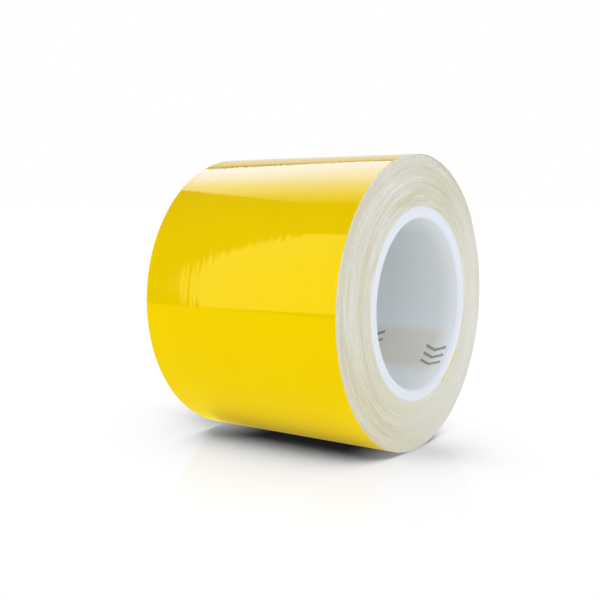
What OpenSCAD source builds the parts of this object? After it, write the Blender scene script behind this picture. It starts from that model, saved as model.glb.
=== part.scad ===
// A roll of self-adhesive sign vinyl, lying on its side.
// Its axis is Y, its middle is the origin, and its dished end faces -Y.
// The web is one strip of film, adhesive and release liner wound on a plastic core.
// Its laps are drawn as closed rings, the last of them in its three real layers.
// The end of the web is a loose tail over the back. Its film is still stuck to its liner
// near the root and comes off the liner beyond that.

/* [Core] */
// Bore of the core, for a 3 inch mandrel
bore_d = 76.2; // [70:0.1:80]
// Wall of the core tube
core_wall = 5.2; // [4:0.1:8]
// Chamfer on the two edges of the bore
bore_chamfer = 0.9; // [0.2:0.1:1.5]
// Chamfer on the two outer edges of the core
core_edge_chamfer = 0.3; // [0.1:0.1:1]

/* [Web] */
// Width of the web, and length of the core
web_w = 101.6; // [60:0.1:160]
// Thickness of the film
film_t = 0.075; // [0.05:0.005:0.1]
// Thickness of the adhesive under the film
adhesive_t = 0.025; // [0.02:0.005:0.04]
// Thickness of the release liner under the adhesive
liner_t = 0.072; // [0.06:0.002:0.15]

/* [Wound laps] */
// Outer diameter over the last lap
roll_d = 132.2; // [110:0.1:160]
// How far the last lap stands back from the first at the dished end
dish = 2.3; // [0:0.1:4]
// How far a bundle of laps strays sideways from an even dish
stray = 0.1; // [0:0.01:0.2]

/* [Start of the web] */
// Thickness of the bare ends of liner and film that are stuck to the core
leader_t = 0.35; // [0.2:0.05:0.6]
// Angle of the middle of the bare film, up from +X
leader_film_at = -48.5; // [-60:0.5:-30]
// Arc that the bare film takes up
leader_film_arc = 27; // [10:1:60]

/* [Tail] */
// Angle of the line where the tail leaves the roll, up from +X
tail_root_at = 78; // [70:1:88]
// Length of the tail
tail_len = 52; // [45:1:70]
// Length at the root where the film is still stuck to the liner
tail_stuck = 15; // [8:1:20]
// Gap between the tail and the lap under it
tail_gap = 0.15; // [0.1:0.01:0.3]
// Gap between the liner and the adhesive where they have parted
peel_gap = 0.05; // [0.03:0.01:0.1]
// Length of the tape that closes the roll, along the lap
tape_len = 30; // [15:1:40]
// Width of the tape
tape_w = 19; // [12:1:25]
// Thickness of the tape
tape_t = 0.06; // [0.04:0.01:0.1]
// How much of the tape's length is stuck to the tail
tape_on_tail = 16; // [8:1:25]

/* [Hidden] */
BUNDLES = 8;
BUNDLE_NAMES = [for (i = [1 : BUNDLES]) str("lap_bundle_", i)];
$fn = 180;

core_r = bore_d / 2 + core_wall;
laps_r0 = core_r + leader_t;
roll_r = roll_d / 2;
lap_t = liner_t + adhesive_t + film_t;
laps_r1 = roll_r - lap_t;
bundle_t = (laps_r1 - laps_r0) / BUNDLES;
outer_liner_r = laps_r1 + liner_t;
outer_adhesive_r = outer_liner_r + adhesive_t;

tail_liner_r = roll_r + tail_gap;
stuck_r = tail_liner_r + liner_t;
peeled_r = stuck_r + peel_gap;
tape_r = peeled_r + adhesive_t + film_t;
tail_end_at = tail_root_at - arc_of(tail_len);
peel_at = tail_root_at - arc_of(tail_stuck);
tape_top_at = tail_end_at + arc_of(tape_on_tail);

white_plastic = [0.90, 0.92, 0.94];
liner_white = [0.93, 0.92, 0.87];
edge_cream = [0.87, 0.85, 0.74];
film_yellow = [0.96, 0.83, 0.05];
glue_clear = [0.90, 0.88, 0.80];
tape_clear = [0.93, 0.93, 0.90];

// The angle that a length along the roll's outside takes up.
function arc_of(length) = length / roll_r * 180 / PI;

// How far the web's edge stands back at radius r, so that both ends follow one even cone.
function set_back(r) = dish * (r - core_r) / (roll_r - core_r);

// A bundle's own sideways stray: it differs from one bundle to the next and fades to
// nothing at the first and last bundle, which keep to the core and to the outer lap.
function stray_of(i) = stray * sin(137 * i) * sin(180 * i / (BUNDLES - 1));

// Turns a profile drawn as (radius, length) about the roll's axis, length along +Y.
// The turn starts at angle from, up from +X, and goes on upwards for the angle arc.
module about_y(from = 0, arc = 360)
    rotate([0, -from, 0])
        rotate([-90, 0, 0])
            mirror([0, 1, 0])
                rotate_extrude(angle = arc)
                    children();

// The section of laps from radius r0 to r1, with both ends on the dish's cone.
module laps_section(r0, r1, shift = 0)
    polygon([
        [r0, set_back(r0) + shift - web_w / 2],
        [r1, set_back(r1) + shift - web_w / 2],
        [r1, set_back(r1) + shift + web_w / 2],
        [r0, set_back(r0) + shift + web_w / 2]
    ]);

// One layer of the web at the roll's outside, at the last lap's sideways place.
module layer(r0, t, from = 0, arc = 360)
    about_y(from, arc)
        translate([r0, dish - web_w / 2])
            square([t, web_w]);

// A layer of the tail between two angles, the one nearer the tail's end first.
module tail_layer(r0, t, low_at, high_at)
    layer(r0, t, low_at, high_at - low_at);

module core_tube()
    color(white_plastic)
    about_y()
        polygon([
            [bore_d / 2 + bore_chamfer, -web_w / 2],
            [core_r - core_edge_chamfer, -web_w / 2],
            [core_r, core_edge_chamfer - web_w / 2],
            [core_r, web_w / 2 - core_edge_chamfer],
            [core_r - core_edge_chamfer, web_w / 2],
            [bore_d / 2 + bore_chamfer, web_w / 2],
            [bore_d / 2, web_w / 2 - bore_chamfer],
            [bore_d / 2, bore_chamfer - web_w / 2]
        ]);

// The bare liner that the web starts with, from where the bare film ends on round.
module liner_leader()
    color(liner_white)
    about_y(leader_film_at + leader_film_arc / 2, 360 - leader_film_arc)
        translate([core_r, -web_w / 2])
            square([leader_t, web_w]);

// The bare edge of film that sticks the web's start to the core.
module film_leader()
    color(film_yellow)
    about_y(leader_film_at - leader_film_arc / 2, leader_film_arc)
        translate([core_r, -web_w / 2])
            square([leader_t, web_w]);

// Laps that lie on each other, as one ring, numbered from the core outwards.
module lap_bundle(i)
    color(edge_cream)
    about_y()
        laps_section(laps_r0 + i * bundle_t, laps_r0 + (i + 1) * bundle_t, stray_of(i));

module outer_liner()
    color(liner_white)
    layer(laps_r1, liner_t);

module outer_adhesive()
    color(glue_clear)
    layer(outer_liner_r, adhesive_t);

module outer_film()
    color(film_yellow)
    layer(outer_adhesive_r, film_t);

module tail_liner()
    color(liner_white)
    tail_layer(tail_liner_r, liner_t, tail_end_at, tail_root_at);

module stuck_adhesive()
    color(glue_clear)
    tail_layer(stuck_r, adhesive_t, peel_at, tail_root_at);

module stuck_film()
    color(film_yellow)
    tail_layer(stuck_r + adhesive_t, film_t, peel_at, tail_root_at);

module peeled_adhesive()
    color(glue_clear)
    tail_layer(peeled_r, adhesive_t, tail_end_at, peel_at);

module peeled_film()
    color(film_yellow)
    tail_layer(peeled_r + adhesive_t, film_t, tail_end_at, peel_at);

// The tape lies on the tail's film and reaches past the end of the tail.
module closing_tape()
    color(tape_clear)
    about_y(tape_top_at - arc_of(tape_len), arc_of(tape_len))
        translate([tape_r, dish - tape_w / 2])
            square([tape_t, tape_w]);

core_tube();
liner_leader();
film_leader();
for (i = [0 : BUNDLES - 1])
    lap_bundle(i);
outer_liner();
outer_adhesive();
outer_film();
tail_liner();
stuck_adhesive();
stuck_film();
peeled_adhesive();
peeled_film();
closing_tape();
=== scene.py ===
"""A roll of yellow sign vinyl on its side: the looks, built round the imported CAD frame."""
import math

import bmesh
import bpy
import numpy as np
from mathutils import Matrix, Vector


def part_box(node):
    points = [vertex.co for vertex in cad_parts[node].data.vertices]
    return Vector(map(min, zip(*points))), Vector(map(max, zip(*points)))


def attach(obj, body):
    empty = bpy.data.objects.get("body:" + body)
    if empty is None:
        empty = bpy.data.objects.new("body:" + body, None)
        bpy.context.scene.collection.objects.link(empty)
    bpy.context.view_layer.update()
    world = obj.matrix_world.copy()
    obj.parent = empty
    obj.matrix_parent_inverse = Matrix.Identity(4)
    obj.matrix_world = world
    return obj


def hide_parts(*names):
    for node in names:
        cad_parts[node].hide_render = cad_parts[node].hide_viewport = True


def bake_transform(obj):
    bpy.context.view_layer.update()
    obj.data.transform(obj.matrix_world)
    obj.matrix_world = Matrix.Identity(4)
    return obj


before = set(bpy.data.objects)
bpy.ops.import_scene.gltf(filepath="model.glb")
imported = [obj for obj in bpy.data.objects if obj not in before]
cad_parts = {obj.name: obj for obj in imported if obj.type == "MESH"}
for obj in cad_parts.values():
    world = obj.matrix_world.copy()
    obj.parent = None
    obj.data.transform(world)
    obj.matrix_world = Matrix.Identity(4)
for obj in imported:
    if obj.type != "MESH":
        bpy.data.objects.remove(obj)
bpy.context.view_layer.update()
MM = 0.001

# ---------------------------------------------------------------- sizes, read from the frame
BUNDLE_NAMES = sorted(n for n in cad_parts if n.startswith("lap_bundle_"))


def points_of(node):
    return [v.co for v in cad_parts[node].data.vertices]


def radii(node):
    """Inner and outer radius of a node about the roll's axis, which is Y."""
    around = [math.hypot(p.x, p.z) for p in points_of(node)]
    return min(around), max(around)


def span(node):
    """Where a node starts and ends along the roll's axis."""
    low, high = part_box(node)
    return low.y, high.y


def angle_span(node):
    """Lowest angle of a node about Y, up from +X, and the arc it takes up, in radians."""
    turns = sorted({round(math.atan2(p.z, p.x), 5) for p in points_of(node)})
    gaps = [(b - a) % (2 * math.pi) for a, b in zip(turns, turns[1:] + turns[:1])]
    widest = max(range(len(gaps)), key=lambda i: gaps[i])
    return turns[(widest + 1) % len(turns)], 2 * math.pi - gaps[widest]


BORE_R, CORE_R = radii("core_tube")
CORE_NEAR, CORE_FAR = span("core_tube")
ROLL_R = radii("outer_film")[1]
WEB_NEAR, WEB_FAR = span("outer_film")
LINER_T = radii("outer_liner")[1] - radii("outer_liner")[0]
LEADER_R = radii("liner_leader")[1]
LAPS_PER_BUNDLE = 16
LAP_PITCH = (radii("outer_liner")[0] - LEADER_R) / (len(BUNDLE_NAMES) * LAPS_PER_BUNDLE)
FLOOR_Z = -ROLL_R

# ---------------------------------------------------------------- camera
CAMERA_AT = Vector((-5.481, -3.665, 0.659)) * ROLL_R
CAMERA_YAW = math.radians(54.59)
CAMERA_PITCH = math.radians(-5.86)
CAMERA_LENS = 55.26


def make_camera():
    """The camera stands low at the roll's left and looks along its side to the dished end."""
    data = bpy.data.cameras.new("camera")
    data.lens = CAMERA_LENS
    data.clip_start = 0.01
    camera = bpy.data.objects.new("camera", data)
    bpy.context.collection.objects.link(camera)
    level = math.cos(CAMERA_PITCH)
    ahead = Vector((math.sin(CAMERA_YAW) * level, math.cos(CAMERA_YAW) * level, math.sin(CAMERA_PITCH)))
    camera.location = CAMERA_AT
    camera.rotation_euler = ahead.to_track_quat("-Z", "Y").to_euler()
    bpy.context.scene.camera = camera


make_camera()

# ---------------------------------------------------------------- shader helpers


class Nodes:
    """A node tree, with short calls for the nodes that this script uses."""

    def __init__(self, tree):
        self.tree = tree

    def node(self, kind, **settings):
        """A new node, with its own settings made."""
        made = self.tree.nodes.new(kind)
        for key, value in settings.items():
            setattr(made, key, value)
        return made

    def put(self, socket, value):
        """A socket takes either another node's output or a constant."""
        if isinstance(value, bpy.types.NodeSocket):
            self.tree.links.new(value, socket)
        else:
            socket.default_value = value

    def math(self, operation, a, b=0.0, c=0.0):
        """Arithmetic on up to three values."""
        made = self.node("ShaderNodeMath", operation=operation)
        for socket, value in zip(made.inputs, (a, b, c)):
            self.put(socket, value)
        return made.outputs[0]

    def product(self, first, *others):
        for other in others:
            first = self.math("MULTIPLY", first, other)
        return first

    def length(self, a, b):
        """Length of the vector (a, b)."""
        return self.math("SQRT", self.math("ADD", self.product(a, a), self.product(b, b)))

    def noise(self, vector, scale, detail=2.0, roughness=0.5):
        made = self.node("ShaderNodeTexNoise")
        self.put(made.inputs["Vector"], vector)
        made.inputs["Scale"].default_value = scale
        made.inputs["Detail"].default_value = detail
        made.inputs["Roughness"].default_value = roughness
        return made.outputs["Fac"]

    def between(self, value, low, high, to_low=0.0, to_high=1.0):
        """Eases from to_low to to_high while the value goes from low to high, and is level outside."""
        made = self.node("ShaderNodeMapRange", interpolation_type="SMOOTHSTEP")
        for key, number in (("Value", value), ("From Min", low), ("From Max", high)):
            self.put(made.inputs[key], number)
        self.put(made.inputs["To Min"], to_low)
        self.put(made.inputs["To Max"], to_high)
        return made.outputs["Result"]

    def mix(self, factor, a, b):
        """A blend of two colours, each a socket or three numbers."""
        made = self.node("ShaderNodeMix", data_type="RGBA")
        self.put(made.inputs["Factor"], factor)
        for key, colour in (("A", a), ("B", b)):
            socket = next(s for s in made.inputs if s.name == key and s.type == "RGBA")
            self.put(socket, colour if isinstance(colour, bpy.types.NodeSocket) else (*colour, 1.0))
        return next(s for s in made.outputs if s.type == "RGBA")

    def ramp(self, value, stops):
        """A colour ramp of (place, colour) stops in order."""
        made = self.node("ShaderNodeValToRGB")
        self.put(made.inputs[0], value)
        elements = made.color_ramp.elements
        while len(elements) < len(stops):
            elements.new(1.0)
        for element, (place, colour) in zip(elements, stops):
            element.position = place
            element.color = (*colour, 1.0)
        return made.outputs["Color"]

    def split(self, vector):
        """The vector's three parts."""
        made = self.node("ShaderNodeSeparateXYZ")
        self.put(made.inputs[0], vector)
        return made.outputs

    def join(self, x, y, z):
        """A vector of three parts."""
        made = self.node("ShaderNodeCombineXYZ")
        for socket, value in zip(made.inputs, (x, y, z)):
            self.put(socket, value)
        return made.outputs[0]


class Shader(Nodes):
    """A new material's nodes."""

    def __init__(self, name):
        self.material = bpy.data.materials.new(name)
        self.material.use_nodes = True
        super().__init__(self.material.node_tree)
        self.surface = self.tree.nodes["Principled BSDF"]
        self.place = self.node("ShaderNodeTexCoord").outputs["Object"]

    def measure(self):
        """Finds where on the roll the shaded point is: radius, angle, turn (0 to 1) and place along Y."""
        x, self.along, z = self.split(self.place)
        self.radius = self.length(x, z)
        self.cosine = self.math("DIVIDE", x, self.radius)
        self.sine = self.math("DIVIDE", z, self.radius)
        self.turn = self.math("MULTIPLY_ADD", self.math("ARCTAN2", z, x), 0.5 / math.pi, 0.5)

    def streaks(self, a, per_a, b, per_b, detail=2.0, roughness=0.5):
        """Noise with its own pace along each of two measures, so it is drawn out along the slower one."""
        at = self.join(self.product(a, per_a), self.product(b, per_b), 0.0)
        return self.noise(at, 1.0, detail, roughness)

    def bump(self, height, distance, strength=1.0):
        """Raises the shading by a height from 0 to 1 times the distance."""
        made = self.node("ShaderNodeBump")
        made.inputs["Strength"].default_value = strength
        made.inputs["Distance"].default_value = distance
        self.put(made.inputs["Height"], height)
        self.put(self.surface.inputs["Normal"], made.outputs[0])

    def finish(self, **inputs):
        """Sets the surface's own sockets, named with underscores for spaces."""
        for key, value in inputs.items():
            self.put(self.surface.inputs[key.replace("_", " ")], value)
        return self.material


# ---------------------------------------------------------------- materials
FILM_YELLOW = (0.90, 0.635, 0.0)
FILM_DEEP = (0.84, 0.565, 0.0)
FILM_GLOSS = (1.0, 0.9, 0.03, 1.0)
FILM_RELIEF = 0.037 * MM
LAP_LINER = (0.845, 0.845, 0.845)
LAP_FILM = (0.68, 0.66, 0.55)
LAP_CLEAN_AND_LIT = (0.86, 0.875, 0.88)
LAP_YELLOWED = (0.66, 0.62, 0.44)
LAP_BROWN = (0.46, 0.39, 0.21)
LAP_RELIEF = 0.04 * MM
LINER_WHITE = (0.80, 0.79, 0.74)
LINER_PALE = (0.84, 0.83, 0.79)
LINER_RELIEF = 0.01 * MM
ADHESIVE_DEEP = (0.86, 0.70, 0.12)
ADHESIVE_PALE = (0.90, 0.76, 0.24)
ADHESIVE_RELIEF = 0.06 * MM
CORE_WHITE = (0.77, 0.812, 0.85)
CORE_PALE = (0.78, 0.82, 0.85)
CORE_PAINTED_WARM = (0.75, 0.72, 0.66)
CORE_LIT = (0.92, 0.955, 0.985)
CORE_END = (0.78, 0.825, 0.95)
CORE_BY_LEADER = (0.88, 0.78, 0.45)
CORE_GLOSS = (0.35, 0.65, 1.0, 1.0)
CORE_RELIEF = 0.03 * MM
TAPE_HAZE = (0.93, 0.92, 0.86, 1.0)
TAPE_RELIEF = 0.03 * MM
INK_GREY = (0.05, 0.05, 0.055)
INK_WORN = (0.15, 0.15, 0.16)


def film_material():
    """Calendered PVC: glossy, with faint bands round the roll where the web's gauge varies."""
    s = Shader("yellow_film")
    s.measure()
    cloud = s.noise(s.place, 22.0, 3.0)
    colour = s.mix(s.between(cloud, 0.3, 0.7, 0.0, 0.3), FILM_YELLOW, FILM_DEEP)
    streak = s.streaks(s.along, 240.0, s.turn, 2.0, 3.0, 0.6)
    colour = s.mix(s.between(streak, 0.35, 0.75, 0.0, 0.25), colour, FILM_DEEP)
    ridges = s.streaks(s.along, 430.0, s.turn, 5.0, 1.0, 0.4)
    bands = s.streaks(s.along, 900.0, s.turn, 9.0, 2.0, 0.6)
    peel = s.noise(s.place, 900.0, 2.0)
    s.bump(s.math("MULTIPLY_ADD", bands, 0.04, s.math("MULTIPLY_ADD", peel, 0.004, ridges)), FILM_RELIEF)
    rough = s.between(s.noise(s.place, 60.0, 4.0), 0.35, 0.75, 0.05, 0.11)
    return s.finish(Base_Color=colour, Roughness=rough, IOR=1.5, Specular_Tint=FILM_GLOSS)


def lap_material():
    """The web's edges: pale liner and duller film, lap upon lap, with dust and slack laps.

    Their yellowed, dusty laps show most at the upper left. Towards the lower right they are cleaner,
    and painted lighter as painted light.
    """
    s = Shader("lap_edges")
    s.measure()

    def rings(per_metre, around, detail=2.0, seed=0.0):
        """Noise drawn out along the laps: so many changes a metre outwards, a few round the roll."""
        across = s.math("MULTIPLY_ADD", s.radius, per_metre, seed)
        swing = s.join(across, s.product(s.cosine, around), s.product(s.sine, around))
        return s.noise(swing, 1.0, detail, 0.6)

    lap = s.math("FRACT", s.product(s.math("SUBTRACT", s.radius, LEADER_R), 1.0 / LAP_PITCH))
    film_part = s.between(lap, LINER_T / LAP_PITCH, LINER_T / LAP_PITCH + 0.1)
    colour = s.mix(film_part, LAP_LINER, LAP_FILM)
    lower_right = s.math("SUBTRACT", s.product(s.cosine, 0.85), s.product(s.sine, 0.7))
    # Painted light: this mask yellows the upper left with dust, and its complement paints the lower right
    # lighter.
    dust_and_painted_light = s.between(lower_right, -0.1, 0.9, 1.0, 0.25)
    broad = s.between(rings(170.0, 0.9), 0.45, 0.72, 0.0, 0.7)
    fine = s.between(rings(1500.0, 2.4, 3.0, 7.0), 0.54, 0.68, 0.0, 0.8)
    colour = s.mix(s.product(broad, dust_and_painted_light), colour, LAP_YELLOWED)
    colour = s.mix(s.product(fine, dust_and_painted_light), colour, LAP_YELLOWED)
    colour = s.mix(s.between(rings(800.0, 1.5, 2.0, 5.0), 0.52, 0.66, 0.0, 0.45), colour, LAP_FILM)
    colour = s.mix(s.between(rings(1250.0, 1.8, 3.0, 3.0), 0.46, 0.32, 0.0, 0.85), colour, LAP_LINER)
    inside = s.between(s.radius, LEADER_R + 1.0 * MM, LEADER_R + 6.0 * MM, 1.0, 0.25)
    stain = s.between(rings(2300.0, 1.6, 2.0, 11.0), 0.57, 0.67, 0.0, 0.65)
    colour = s.mix(s.product(inside, stain), colour, LAP_BROWN)
    colour = s.mix(s.between(s.noise(s.place, 1100.0, 3.0), 0.45, 0.7, 0.0, 0.15), colour, LAP_BROWN)
    # Painted light: the lower right is painted lighter and cleaner.
    colour = s.mix(s.product(s.math("SUBTRACT", 1.0, dust_and_painted_light), 0.45), colour, LAP_CLEAN_AND_LIT)
    s.bump(rings(2600.0, 2.0), LAP_RELIEF, 0.6)
    return s.finish(Base_Color=colour, Roughness=0.62, IOR=1.45)


def liner_material():
    """Siliconised paper: smooth and faintly mottled, with a soft shine."""
    s = Shader("liner_paper")
    fibres = s.noise(s.place, 700.0, 4.0)
    colour = s.mix(s.noise(s.place, 45.0, 3.0), LINER_WHITE, LINER_PALE)
    s.bump(fibres, LINER_RELIEF, 0.6)
    return s.finish(Base_Color=colour, Roughness=s.between(fibres, 0.2, 0.8, 0.32, 0.48), IOR=1.45)


def adhesive_material():
    """Clear acrylic adhesive over the film's back: a paler yellow with a wet, uneven shine."""
    s = Shader("adhesive")
    ripple = s.noise(s.place, 160.0, 3.0)
    colour = s.mix(ripple, ADHESIVE_DEEP, ADHESIVE_PALE)
    s.bump(ripple, ADHESIVE_RELIEF, 0.5)
    return s.finish(Base_Color=colour, Roughness=s.between(ripple, 0.3, 0.7, 0.14, 0.3), IOR=1.47)


def core_material():
    """Extruded plastic: satin white with faint draw lines along the tube.

    It has a painted warm shade in a band low down, and painted light at the top and bottom. Near the
    cut ends it is painted lighter, for light let in there, and it shows the colour of the bare film outside
    it.
    """
    s = Shader("core_plastic")
    s.measure()
    lines = s.streaks(s.turn, 160.0, s.along, 6.0, 3.0, 0.6)
    saw = s.streaks(s.radius, 1500.0, s.turn, 4.0)
    colour = s.mix(s.noise(s.place, 30.0, 3.0), CORE_WHITE, CORE_PALE)
    # Painted warm shade: a darker, warmer band low in the bore.
    painted_warm_band = s.product(s.between(s.sine, -0.95, -0.8), s.between(s.sine, -0.35, -0.5))
    colour = s.mix(painted_warm_band, colour, CORE_PAINTED_WARM)
    # Painted light: the bore is painted lighter at its top and bottom.
    colour = s.mix(s.between(s.math("ABSOLUTE", s.sine), 0.78, 0.97, 0.0, 0.5), colour, CORE_LIT)
    depth = s.math("SUBTRACT", CORE_FAR, s.math("ABSOLUTE", s.along))
    # Painted light: the tube is painted lighter towards its cut ends, for light let in there.
    colour = s.mix(s.between(depth, 12.0 * MM, 0.5 * MM), colour, CORE_LIT)
    colour = s.mix(s.between(depth, 1.0 * MM, 0.6 * MM), colour, CORE_END)
    start, arc = angle_span("film_leader")
    middle = start + arc / 2
    facing = s.math("MULTIPLY_ADD", s.cosine, math.cos(middle), s.product(s.sine, math.sin(middle)))
    beside = s.between(facing, math.cos(arc / 2), math.cos(arc / 3))
    close = s.between(s.radius, CORE_R - 1.6 * MM, CORE_R, 0.0, 0.7)
    colour = s.mix(s.product(beside, close), colour, CORE_BY_LEADER)
    s.bump(s.math("ADD", lines, s.product(saw, 0.4)), CORE_RELIEF, 0.5)
    return s.finish(
        Base_Color=colour,
        Roughness=s.between(lines, 0.2, 0.8, 0.34, 0.46),
        IOR=1.46,
        Specular_IOR_Level=0.15,
        Specular_Tint=CORE_GLOSS,
    )


def tape_material():
    """Matt office tape: hazy and nearly clear."""
    s = Shader("clear_tape")
    haze = s.noise(s.place, 260.0, 4.0)
    s.bump(haze, TAPE_RELIEF, 0.5)
    rough = s.between(haze, 0.3, 0.7, 0.3, 0.42)
    return s.finish(Base_Color=TAPE_HAZE, Roughness=rough, IOR=1.48, Alpha=0.42)


def ink_material():
    """Inkjet print on the plastic, a little broken up."""
    s = Shader("coder_ink")
    colour = s.mix(s.noise(s.place, 1500.0, 3.0), INK_GREY, INK_WORN)
    return s.finish(Base_Color=colour, Roughness=0.5)


FILM = film_material()
LAPS = lap_material()
LINER = liner_material()
ADHESIVE = adhesive_material()
CORE = core_material()
TAPE = tape_material()
INK = ink_material()

# ---------------------------------------------------------------- mesh helpers
AROUND = 360


def make_piece(name, points, faces, material, slot, body=None, replaced=(), smooth_below=40.0, ends=None):
    """A mesh object, shaded smooth but for its sharp edges. Faces across Y may take a material, ends."""
    mesh = bpy.data.meshes.new(name)
    mesh.from_pydata(points, [], faces)
    mesh.validate()
    solid = bmesh.new()
    solid.from_mesh(mesh)
    bmesh.ops.recalc_face_normals(solid, faces=solid.faces)
    solid.to_mesh(mesh)
    solid.free()
    mesh.shade_smooth()
    mesh.set_sharp_from_angle(angle=math.radians(smooth_below))
    mesh.materials.append(material)
    if ends:
        mesh.materials.append(ends)
        across = [abs(face.normal.y) > 0.7 for face in mesh.polygons]
        mesh.polygons.foreach_set("material_index", across)
    piece = bpy.data.objects.new(name, mesh)
    bpy.context.collection.objects.link(piece)
    if body:
        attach(piece, body)
    if replaced:
        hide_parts(*replaced)
    return piece


def turned(profile_at, steps, start=0.0, arc=2 * math.pi):
    """Points and faces of a closed profile turned about Y.

    profile_at(angle) gives the profile's (radius, length) pairs, always as many, anticlockwise
    where the radius goes right and the length goes up. An arc under a full turn gets end caps.
    """
    whole = arc >= 2 * math.pi - 1e-9
    stations = steps if whole else steps + 1
    points, faces = [], []
    for i in range(stations):
        angle = start + arc * i / steps
        for radius, length in profile_at(angle):
            points.append((radius * math.cos(angle), length, radius * math.sin(angle)))
    count = len(points) // stations
    for i in range(steps):
        here, there = i * count, ((i + 1) % stations) * count
        for j in range(count):
            k = (j + 1) % count
            faces.append((here + j, here + k, there + k, there + j))
    if not whole:
        faces.append(tuple(reversed(range(count))))
        faces.append(tuple(range((stations - 1) * count, stations * count)))
    return points, faces


class Wander:
    """Smooth seeded noise: a sum of sines of one number, never over 1.

    tilt says how fast the short waves fade: at 1 every wave is as steep as the others.
    """

    def __init__(self, seed, longest, shortest, waves=9, tilt=0.35):
        rng = np.random.default_rng(seed)
        self.rates = 2 * math.pi / np.exp(rng.uniform(math.log(shortest), math.log(longest), waves))
        self.phases = rng.uniform(0, 2 * math.pi, waves)
        self.sizes = rng.uniform(0.5, 1.0, waves) * self.rates**-tilt
        self.sizes /= self.sizes.sum()

    def __call__(self, at):
        return float((self.sizes * np.sin(self.rates * at + self.phases)).sum())


# ---------------------------------------------------------------- core


def rounded(corner, before, after, size, steps=3):
    """Points of a small round at a corner, towards the points before and after it."""
    corner, before, after = (np.array(p, float) for p in (corner, before, after))
    enter = corner + (before - corner) / np.linalg.norm(before - corner) * size
    leave = corner + (after - corner) / np.linalg.norm(after - corner) * size
    ts = [i / steps for i in range(steps + 1)]
    return [tuple((1 - t) ** 2 * enter + 2 * t * (1 - t) * corner + t * t * leave) for t in ts]


def make_core():
    """The core tube: a plain bore, chamfered and then deburred at both ends."""
    chamfer, edge, burr = 0.9 * MM, 0.3 * MM, 0.12 * MM
    outline = [
        (BORE_R, CORE_NEAR + chamfer),
        (BORE_R + chamfer, CORE_NEAR),
        (CORE_R - edge, CORE_NEAR),
        (CORE_R, CORE_NEAR + edge),
        (CORE_R, CORE_FAR - edge),
        (CORE_R - edge, CORE_FAR),
        (BORE_R + chamfer, CORE_FAR),
        (BORE_R, CORE_FAR - chamfer),
    ]
    profile = []
    for i, corner in enumerate(outline):
        profile += rounded(corner, outline[i - 1], outline[(i + 1) % len(outline)], burr)
    points, faces = turned(lambda angle: profile, AROUND)
    return make_piece("core", points, faces, CORE, "core", "roll", ["core_tube"], smooth_below=60.0)


make_core()

# ---------------------------------------------------------------- wound laps
LAP_STEPS = 180
LAP_STRAY = 0.07 * MM
END_WANDER = [Wander(31 + i, 9.0, 1.1) for i in range(3)]


def lap_height(lap, angle):
    """How far one lap's edge stands proud (+) or shy (-) of the bundle's even cone."""
    shape = END_WANDER[0](lap) + END_WANDER[1](lap) * math.cos(angle) + END_WANDER[2](lap) * math.sin(angle)
    return LAP_STRAY * shape


def make_bundle(index, node):
    """One bundle of laps, with each lap's liner and film edges as their own small steps."""
    inner, outer = radii(node)
    at_inner = [p.y for p in points_of(node) if math.hypot(p.x, p.z) < inner + 0.1 * MM]
    at_outer = [p.y for p in points_of(node) if math.hypot(p.x, p.z) > outer - 0.1 * MM]
    near_in, far_in = min(at_inner), max(at_inner)
    near_out, far_out = min(at_outer), max(at_outer)
    pitch = (outer - inner) / LAPS_PER_BUNDLE
    groove, film_back, lip = 0.05 * MM, 0.022 * MM, 0.012 * MM

    def end_points(angle, ends, sign):
        """The bundle's end from the inside out. ends is its cone's inner and outer length."""
        points = []
        for lap in range(LAPS_PER_BUNDLE):
            start = inner + lap * pitch
            cone = ends[0] + (ends[1] - ends[0]) * (lap + 0.5) / LAPS_PER_BUNDLE
            liner = cone + lap_height(index * LAPS_PER_BUNDLE + lap, angle)
            film = liner - sign * film_back
            points.append((start, liner - sign * groove))
            points.append((start + lip, liner))
            points.append((start + LINER_T, liner))
            points.append((start + LINER_T + lip, film))
        points.append((outer, points[-1][1]))
        return points

    def profile_at(angle):
        near_end = end_points(angle, (near_in, near_out), -1)
        far_end = end_points(angle, (far_in, far_out), 1)
        return near_end + list(reversed(far_end))

    points, faces = turned(profile_at, LAP_STEPS)
    name = f"laps_{index + 1}"
    return make_piece(name, points, faces, LAPS, "lap_edges", "roll", [node], smooth_below=25.0)


for bundle_index, bundle_node in enumerate(BUNDLE_NAMES):
    make_bundle(bundle_index, bundle_node)

# ---------------------------------------------------------------- the last lap
GAUGE = Wander(7, 30 * MM, 1.8 * MM, 24, 1.0)
GAUGE_SIZE = 0.036 * MM
ALONG = 300
FILM_AROUND = 240


def skin_profile(inner, outer, gauge=0.0, edge=0.02 * MM, along=ALONG):
    """Section of one layer of the web: two long faces and two small rounded edges."""
    lengths = [WEB_NEAR + edge + (WEB_FAR - WEB_NEAR - 2 * edge) * i / (along - 1) for i in range(along)]
    outside = [(outer - gauge + gauge * GAUGE(y), y) for y in lengths]
    near = [(inner, WEB_NEAR), (outer - edge, WEB_NEAR)]
    far = [(outer - edge, WEB_FAR), (inner, WEB_FAR)]
    return near + outside + far


def make_layer(name, node, material, slot, gauge=0.0, along=4):
    """One layer of the last lap, as a whole ring with lap edges at its ends."""
    inner, outer = radii(node)
    profile = skin_profile(inner, outer, gauge, along=along)
    points, faces = turned(lambda angle: profile, FILM_AROUND)
    return make_piece(name, points, faces, material, slot, "roll", [node], ends=LAPS)


make_layer("last_lap_film", "outer_film", FILM, "film", GAUGE_SIZE, ALONG)
make_layer("last_lap_adhesive", "outer_adhesive", ADHESIVE, "adhesive")
make_layer("last_lap_liner", "outer_liner", LINER, "liner")

# ---------------------------------------------------------------- start of the web


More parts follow.
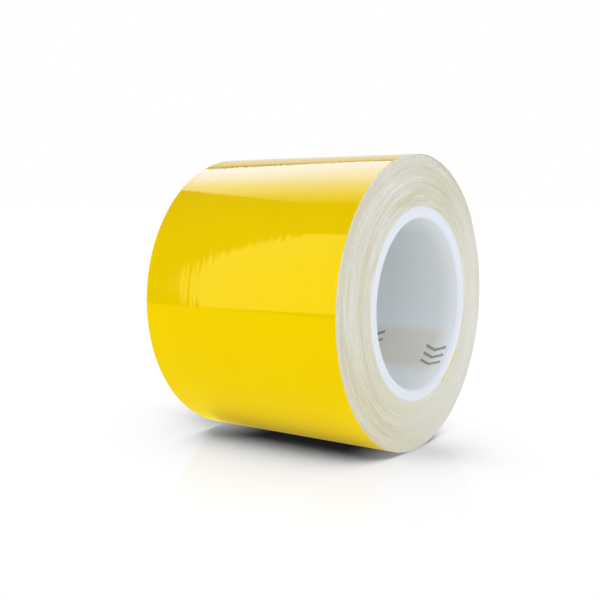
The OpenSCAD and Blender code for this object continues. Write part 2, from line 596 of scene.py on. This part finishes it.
def make_leader(name, node, material, slot):
    """An arc of the web's start, on the core and under the first lap."""
    inner, outer = radii(node)
    near, far = span(node)
    start, arc = angle_span(node)
    edge = 0.03 * MM
    profile = [
        (inner, near),
        (outer - edge, near),
        (outer, near + edge),
        (outer, far - edge),
        (outer - edge, far),
        (inner, far),
    ]
    points, faces = turned(lambda angle: profile, max(12, round(AROUND * arc / (2 * math.pi))), start, arc)
    return make_piece(name, points, faces, material, slot, "roll", [node])


make_leader("leader_liner", "liner_leader", LINER, "liner")
make_leader("leader_film", "film_leader", FILM, "film")

# ---------------------------------------------------------------- tail
TAIL_END_AT, TAIL_ARC = angle_span("tail_liner")
TAIL_ROOT_AT = TAIL_END_AT + TAIL_ARC
PEEL_AT = angle_span("stuck_film")[0]
STUCK_R = radii("stuck_film")[1]
FACE_T = STUCK_R - radii("stuck_adhesive")[0]
PEEL_GAP = radii("peeled_film")[1] - STUCK_R
RISE_ARC = math.radians(12)
PEEL_START = 3 * MM
TAIL_STEP = 0.6 * MM


def eased(share):
    """0 to 1 with a smooth start and end."""
    share = min(max(share, 0.0), 1.0)
    return share * share * (3 - 2 * share)


def on_roll(angle):
    """The middle of the web's width, on the roll's surface at an angle."""
    return Vector((ROLL_R * math.cos(angle), (WEB_NEAR + WEB_FAR) / 2, ROLL_R * math.sin(angle)))


def make_rise(name, material, slot, depth, buried):
    """The web as it climbs off the last lap to the tail's root, from a depth below its top down."""
    sunk = 0.01 * MM

    def profile_at(angle):
        climb = eased((TAIL_ROOT_AT + RISE_ARC - angle) / RISE_ARC)
        top = ROLL_R - sunk + climb * (STUCK_R - ROLL_R + sunk) - depth
        bottom = ROLL_R - 3 * FACE_T if buried else top - FACE_T
        return skin_profile(bottom, top, GAUGE_SIZE, 0.01 * MM)

    points, faces = turned(profile_at, 24, TAIL_ROOT_AT, RISE_ARC)
    return make_piece(name, points, faces, material, slot, "roll")


def make_tail_layer(name, node, material, slot, gauge=0.0, along=4, lowered=0.0):
    """One layer of the tail. A lowered one starts lower at its root and soon climbs to its place."""
    inner, outer = radii(node)
    start, arc = angle_span(node)

    def profile_at(angle):
        drop = lowered * (1 - eased((start + arc - angle) * ROLL_R / PEEL_START))
        return skin_profile(inner - drop, outer - drop, gauge, 0.012 * MM, along)

    points, faces = turned(profile_at, round(arc * ROLL_R / TAIL_STEP), start, arc)
    return make_piece(name, points, faces, material, slot, replaced=[node])


def bend(piece, at):
    """Bakes the piece's place into its mesh. It works out a point on the roll at the angle, but leaves it
    unused.
    """
    on_roll(at)
    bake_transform(piece)


def make_tail():
    """Liner all the way, film stuck to it near the root, and film parted from it beyond."""
    make_rise("rising_film", FILM, "film", 0.0, False)
    make_rise("rising_liner", LINER, "liner", FACE_T, True)
    for name, node, material, slot, gauge, along in (
        ("tail_backing_paper", "tail_liner", LINER, "liner", 0.0, 4),
        ("tail_stuck_adhesive", "stuck_adhesive", ADHESIVE, "adhesive", 0.0, 4),
        ("tail_stuck_film", "stuck_film", FILM, "film", GAUGE_SIZE, ALONG),
    ):
        piece = make_tail_layer(name, node, material, slot, gauge, along)
        bend(piece, TAIL_ROOT_AT)
    for name, node, material, slot, gauge, along in (
        ("tail_peeled_adhesive", "peeled_adhesive", ADHESIVE, "adhesive", 0.0, 4),
        ("tail_peeled_film", "peeled_film", FILM, "film", GAUGE_SIZE, ALONG),
    ):
        piece = make_tail_layer(name, node, material, slot, gauge, along, PEEL_GAP)
        bend(piece, PEEL_AT)


make_tail()

# ---------------------------------------------------------------- closing tape
TOOTH_PITCH = 1.0 * MM
TOOTH_DEPTH = 0.4 * MM
TAPE_DROP = 4.0 * MM


def slab(face_at, along, across):
    """Points and faces of a closed sheet. face_at(side, u, v) gives the points of its two faces."""
    points = []
    for side in (1, 0):
        for i in range(along + 1):
            points += [face_at(side, i / along, j / across) for j in range(across + 1)]
    row, face = across + 1, (along + 1) * (across + 1)
    faces = []
    for i in range(along):
        for j in range(across):
            k = i * row + j
            faces.append((k, k + 1, k + row + 1, k + row))
            faces.append((face + k, face + k + row, face + k + row + 1, face + k + 1))
    rim = list(range(across))
    rim += [i * row + across for i in range(along)]
    rim += [along * row + j for j in range(across, 0, -1)]
    rim += [i * row for i in range(along, 0, -1)]
    for k, following in zip(rim, rim[1:] + rim[:1]):
        faces.append((k, face + k, face + following, following))
    return points, faces


def make_tape():
    """Matt tape over the tail's end, with zigzag ends. Past the tail it drops onto the lap below."""
    inner, outer = radii("closing_tape")
    near, far = span("closing_tape")
    start, arc = angle_span("closing_tape")
    teeth = round((far - near) / TOOTH_PITCH)

    def face_at(side, u, v):
        tooth = abs((v * teeth) % 1.0 - 0.5) * 2 * TOOTH_DEPTH / ROLL_R
        angle = start + tooth + (arc - 2 * tooth) * u
        dropped = eased((TAIL_END_AT - angle) * ROLL_R / TAPE_DROP)
        radius = inner + (outer - inner) * side - dropped * (inner - ROLL_R - 0.01 * MM)
        return radius * math.cos(angle), near + (far - near) * v, radius * math.sin(angle)

    points, faces = slab(face_at, 60, 4 * teeth)
    return make_piece("closing_tape_strip", points, faces, TAPE, "tape", "tail_face", ["closing_tape"])


make_tape()

# ---------------------------------------------------------------- ink marks in the bore
DOT_R = 0.37 * MM
DOT_SIDES = 8
DOT_PITCH = 0.8 * MM
DOTS_PER_ARM = 6
CHEVRON_SLANT = 0.34 * MM
CHEVRON_PITCH = 4.3 * MM
INK_T = 0.02 * MM
INK_ROOT = 0.05 * MM


def make_mark(name, middle_at, middle_y):
    """Three chevrons of printed dots, two dots thick, which point the way the web comes off."""
    points, faces = [], []

    def add_dot(round_by, along_by):
        """One dot: a thin disc that lies on the bore's wall and is rooted a little way into it."""
        first = len(points)
        for radius in (BORE_R - INK_T, BORE_R + INK_ROOT):
            for k in range(DOT_SIDES):
                turn = 2 * math.pi * k / DOT_SIDES
                angle = middle_at + (round_by + DOT_R * math.cos(turn)) / BORE_R
                length = middle_y + along_by + DOT_R * math.sin(turn)
                points.append((radius * math.cos(angle), length, radius * math.sin(angle)))
        faces.append(tuple(first + k for k in range(DOT_SIDES)))
        faces.append(tuple(first + DOT_SIDES + k for k in reversed(range(DOT_SIDES))))
        for k in range(DOT_SIDES):
            after = (k + 1) % DOT_SIDES
            faces.append((first + after, first + k, first + DOT_SIDES + k, first + DOT_SIDES + after))

    for chevron in (-1, 0, 1):
        for row in (0, 1):
            for dot in range(-DOTS_PER_ARM, DOTS_PER_ARM + 1):
                back = abs(dot) * CHEVRON_SLANT + row * DOT_PITCH
                add_dot(chevron * CHEVRON_PITCH + back, dot * DOT_PITCH)
    return make_piece(name, points, faces, INK, "core", "roll")


make_mark("unwind_mark_1", math.radians(-48), -43.0 * MM)
make_mark("unwind_mark_2", math.radians(-40), -8.0 * MM)

# ---------------------------------------------------------------- floor
# A place that is as open as SHADE_HALF glows at about half. What ends in OVER is where a value
# changes: a distance from the roll's middle, or the two between which it does.
FLOOR_HALF = 40.0
SKY_REACH = 0.12
SKY_LEAN = 0.50
SKY_LEAN_OVER = 0.03
SKY_TILT = -0.20
SKY_TILT_AHEAD = -0.06
SKY_TILT_OVER = (-0.064, -0.044)
SKY_UP = 0.84
SHADE_FROM = 0.10
SHADE_HALF = 0.56
SHADE_STEEPNESS = 5.0
SHADE_LEAST = 0.010
LEAK_OVER = (0.010, 0.060)
LEAK_ROOT = 0.62
GLOW_SEEN = 1.04
GLOW_BOUNCED = 0.80
GLOW_MIRRORED = 2.0
GLOW_LIFT = 0.22
GLOW_TINT = (1.0, 0.93, 0.08)
GLOW_TINT_SHADED = (1.0, 0.78, 0.15)
GLOW_EDGE = -0.50
MIRROR_SHARE = 0.12
MIRROR_ROUGHNESS = 0.14
MIRROR_FADE = (0.07, 0.15)
MIRROR_STRETCH = 0.7


def floor_shade(s, x, y):
    """How brightly each place on the floor glows, from 0 to 1, by how open it is to the sky.

    The sky leans to the side, away from the roll, so that the dark part stays narrow. With t as the
    openness past SHADE_FROM, and h as its value at SHADE_HALF, the glow is t^n (1 + h^n) / (t^n + h^n),
    but never under SHADE_LEAST.
    """
    openness = s.node("ShaderNodeAmbientOcclusion", samples=16)
    openness.inputs["Distance"].default_value = SKY_REACH
    lean = s.between(x, -SKY_LEAN_OVER, SKY_LEAN_OVER, -SKY_LEAN, SKY_LEAN)
    tilt = s.between(y, *SKY_TILT_OVER, SKY_TILT_AHEAD, SKY_TILT)
    s.put(openness.inputs["Normal"], s.join(lean, tilt, SKY_UP))
    past = s.math("MAXIMUM", s.math("SUBTRACT", openness.outputs["AO"], SHADE_FROM), 0.0)
    rise = s.math("POWER", s.product(past, 1.0 / (1.0 - SHADE_FROM)), SHADE_STEEPNESS)
    half = ((SHADE_HALF - SHADE_FROM) / (1.0 - SHADE_FROM)) ** SHADE_STEEPNESS
    level = s.product(s.math("DIVIDE", rise, s.math("ADD", rise, half)), 1.0 + half)
    return s.math("MAXIMUM", level, SHADE_LEAST)


def floor_glow(s, x, y, shade):
    """The floor's own glow: less of it where the roll hides the sky, but for light let in at its ends.

    The glow that falls on the roll is warmer and more even than the glow that the camera sees. In
    the gloss it is brighter and has an edge.
    """
    ray = s.node("ShaderNodeLightPath").outputs
    level = s.between(ray["Is Diffuse Ray"], 0.0, 1.0, GLOW_SEEN, GLOW_BOUNCED)
    mirrored = s.between(x, GLOW_EDGE - 0.01, GLOW_EDGE + 0.01, 0.0, GLOW_MIRRORED)
    level = s.between(ray["Is Glossy Ray"], 0.0, 1.0, level, mirrored)
    tint = s.mix(ray["Is Glossy Ray"], (1.0, 1.0, 1.0), GLOW_TINT)
    unseen = s.math("SUBTRACT", 1.0, ray["Is Camera Ray"])
    tint = s.mix(s.product(s.math("SUBTRACT", 1.0, shade), unseen), tint, GLOW_TINT_SHADED)
    leak = s.between(s.math("ABSOLUTE", y), *LEAK_OVER, 0.0, LEAK_ROOT)
    lit = s.math("MAXIMUM", shade, s.product(leak, leak))
    lift = s.between(ray["Is Camera Ray"], 0.0, 1.0, GLOW_LIFT, 0.0)
    bright = s.math("MULTIPLY_ADD", lit, s.math("SUBTRACT", 1.0, lift), lift)
    glow = s.node("ShaderNodeEmission")
    s.put(glow.inputs["Color"], tint)
    s.put(glow.inputs["Strength"], s.product(bright, level))
    return glow.outputs[0]


def floor_material():
    """White that darkens close to the roll and shows a weak mirror image that soon fades.

    It glows instead of being lit, by how open it is to the sky, so that its white stays even.
    """
    s = Shader("floor_white")
    s.tree.nodes.remove(s.surface)
    s.material.cycles.emission_sampling = "NONE"
    x, y = s.split(s.place)[:2]
    shade = floor_shade(s, x, y)
    shine = s.node("ShaderNodeBsdfGlossy")
    shine.inputs["Color"].default_value = (1.0, 1.0, 1.0, 1.0)
    shine.inputs["Roughness"].default_value = MIRROR_ROUGHNESS
    away = s.length(x, s.product(y, MIRROR_STRETCH))
    both = s.node("ShaderNodeMixShader")
    s.put(both.inputs[0], s.product(shade, s.between(away, *MIRROR_FADE, MIRROR_SHARE, 0.0)))
    s.put(both.inputs[1], floor_glow(s, x, y, shade))
    s.put(both.inputs[2], shine.outputs[0])
    s.put(s.tree.nodes["Material Output"].inputs["Surface"], both.outputs[0])
    return s.material


def make_floor():
    """One large square under the roll."""
    corners = [(x * FLOOR_HALF, y * FLOOR_HALF, FLOOR_Z) for x, y in ((-1, -1), (1, -1), (1, 1), (-1, 1))]
    mesh = bpy.data.meshes.new("floor")
    mesh.from_pydata(corners, [], [(0, 1, 2, 3)])
    mesh.materials.append(floor_material())
    floor = bpy.data.objects.new("floor", mesh)
    bpy.context.collection.objects.link(floor)
    return floor


# ---------------------------------------------------------------- world
AMBIENT = 0.38
AMBIENT_OFF_GLOSS = 0.75
WALL_LIGHT = 0.86
WALL_SIDE = (0.6, 0.8, 0.0)
WALL_SIDE_OVER = (0.2, 0.5)
WALL_TOP_OVER = (-0.475, -0.455)


def make_world():
    """White to the eye, and to everything else a dim studio with a white wall behind the roll."""
    world = bpy.data.worlds.new("studio")
    world.use_nodes = True
    bpy.context.scene.world = world
    s = Nodes(world.node_tree)
    s.tree.nodes.clear()
    place = s.node("ShaderNodeTexCoord").outputs["Generated"]
    ray = s.node("ShaderNodeLightPath").outputs

    def towards(normal, low, high):
        """0 below low and 1 above high, of the direction's height along the normal."""
        dot = s.node("ShaderNodeVectorMath", operation="DOT_PRODUCT")
        s.put(dot.inputs[0], place)
        s.put(dot.inputs[1], Vector(normal).normalized())
        return s.between(dot.outputs["Value"], low, high)

    share = s.math("SUBTRACT", 1.0, s.product(ray["Is Glossy Ray"], AMBIENT_OFF_GLOSS))
    wall = s.product(towards(WALL_SIDE, *WALL_SIDE_OVER), towards((0, 0, -1), *WALL_TOP_OVER), WALL_LIGHT)
    unseen, seen = s.node("ShaderNodeBackground"), s.node("ShaderNodeBackground")
    for shader in (unseen, seen):
        shader.inputs["Color"].default_value = (1.0, 1.0, 1.0, 1.0)
    s.put(unseen.inputs["Strength"], s.math("ADD", s.product(share, AMBIENT), wall))
    both = s.node("ShaderNodeMixShader")
    s.put(both.inputs[0], ray["Is Camera Ray"])
    s.put(both.inputs[1], unseen.outputs[0])
    s.put(both.inputs[2], seen.outputs[0])
    s.put(s.node("ShaderNodeOutputWorld").inputs["Surface"], both.outputs[0])


# ---------------------------------------------------------------- lamps
# A corner of the top softbox and its place are (across the roll, along the roll). A cut is what it
# takes off the width and off the length. A fill has a name, a place, a width and a power in watts.
TOP_BOX_LOW = (-0.10, -0.40)
TOP_BOX_HIGH = (0.72, 0.75)
TOP_BOX_UP = 0.60
TOP_BOX_LIGHT = 5.7
TOP_BOX_CUTS = ((0.32, 0.385), (0.19, 0.205))
TOP_BOX_RIM = (0.10, 0.10, 0.02)
TOP_BOX_NEAR = (0.31, 0.37, 0.46)
TOP_BOX_MIDDLE = (0.37, 0.49, 0.92)
TOP_BOX_FAR = (0.31, 0.38, 0.60)
TOP_BOX_SHADES = ((-0.10, TOP_BOX_RIM), (0.05, TOP_BOX_NEAR), (0.24, TOP_BOX_MIDDLE), (0.60, TOP_BOX_FAR))
SIDE_BOX_CORNER = (-0.5, 0.424)
SIDE_BOX_SIZE = (0.62, 0.76)
SIDE_BOX_LEAN = math.radians(8.4)
SIDE_BOX_LIGHT = 2.85
FILLS = (
    ("left_fill", (-1.15, 0.5, 0.4), 0.8, 4.1),
    ("low_fill", (-1.3, -0.5, 0.0), 0.5, 3.1),
    ("end_fill", (-0.15, -1.35, 0.55), 0.8, 7.7),
    ("top_fill", (-0.3, 0.0, 1.3), 0.9, 1.9),
)
UNDER_FILL = ("under_fill", (-0.12, -0.15, -0.8), 0.8, 0.8)


def add_lamp(name, shape, at, turned_to, lit):
    """An area lamp that the camera doesn't see. It shines along its own -Z, on the collection lit."""
    data = bpy.data.lights.new(name, "AREA")
    data.shape = shape
    lamp = bpy.data.objects.new(name, data)
    bpy.context.collection.objects.link(lamp)
    lamp.location = at
    lamp.rotation_euler = turned_to.to_euler()
    lamp.visible_camera = False
    lamp.light_linking.receiver_collection = lit
    return lamp


def add_softbox(name, at, along, across, size, radiance, lit):
    """A softbox that shows only in the gloss, where its edges draw sharp borders."""
    lamp = add_lamp(name, "RECTANGLE", at, Matrix((along, across, along.cross(across))).transposed(), lit)
    lamp.visible_diffuse = False
    lamp.data.size, lamp.data.size_y = size
    lamp.data.energy = radiance * math.pi * size[0] * size[1]
    return lamp.data


def add_fill(name, at, size, power, lit, not_shaded_by=None):
    """A soft round lamp aimed at the roll. It lights without showing in the gloss."""
    lamp = add_lamp(name, "DISK", at, (-Vector(at)).to_track_quat("-Z", "Y"), lit)
    lamp.visible_glossy = False
    lamp.light_linking.blocker_collection = not_shaded_by
    lamp.data.size = size
    lamp.data.energy = power


def shape_softbox(data, size, cuts, shades):
    """Shades a softbox across its width and cuts the two corners at its far end off it.

    size is its width and length in metres. Each cut is what it takes off the width and the length.
    Each shade is a share of the width and the colour there.
    """
    data.use_nodes = True
    s = Nodes(data.node_tree)
    glow = s.tree.nodes["Emission"]
    across, along = s.split(s.node("ShaderNodeNewGeometry").outputs["Parametric"])[:2]
    s.put(glow.inputs["Color"], s.ramp(across, shades))
    to_end = s.math("SUBTRACT", 1.0, along)
    lit = 1.0
    for to_side, (off_width, off_length) in zip((across, s.math("SUBTRACT", 1.0, across)), cuts):
        inwards = s.product(to_end, size[1] / off_length)
        inwards = s.math("MULTIPLY_ADD", to_side, size[0] / off_width, inwards)
        lit = s.product(s.math("GREATER_THAN", inwards, 1.0), lit)
    s.put(glow.inputs["Strength"], lit)


def make_top_softbox(lit):
    """The softbox overhead, which shows as the bright shape on the film's upper side."""
    low, high = Vector((*TOP_BOX_LOW, TOP_BOX_UP)), Vector((*TOP_BOX_HIGH, TOP_BOX_UP))
    centre, size = (low + high) / 2, (high - low).xy
    along, across = Vector((1, 0, 0)), Vector((0, 1, 0))
    data = add_softbox("top_softbox", centre, along, across, size, TOP_BOX_LIGHT, lit)
    shades = [((place - low.x) / size.x, colour) for place, colour in TOP_BOX_SHADES]
    shape_softbox(data, size, TOP_BOX_CUTS, shades)


def make_side_softbox(lit):
    """The softbox that stands on the floor at the roll's left and leans along it."""
    up = Vector((0, math.sin(SIDE_BOX_LEAN), math.cos(SIDE_BOX_LEAN)))
    side = Vector((0, up.z, -up.y))
    width, height = SIDE_BOX_SIZE
    corner = Vector((*SIDE_BOX_CORNER, 0.0))
    centre = corner - side * width / 2 + up * (height / 2 + FLOOR_Z)
    add_softbox("side_softbox", centre, side, -up, SIDE_BOX_SIZE, SIDE_BOX_LIGHT, lit)


def all_but(floor):
    """A collection that makes a lamp light everything except the floor."""
    rest = bpy.data.collections.new("not_the_floor")
    rest.objects.link(floor)
    rest.collection_objects[0].light_linking.link_state = "EXCLUDE"
    return rest


def make_stage():
    """The floor, the world and the lamps. No lamp lights the floor, and one shines up through it."""
    rest = all_but(make_floor())
    make_world()
    make_top_softbox(rest)
    make_side_softbox(rest)
    for fill in FILLS:
        add_fill(*fill, rest)
    add_fill(*UNDER_FILL, rest, rest)


make_stage()
bpy.context.scene.view_settings.view_transform = "Standard"
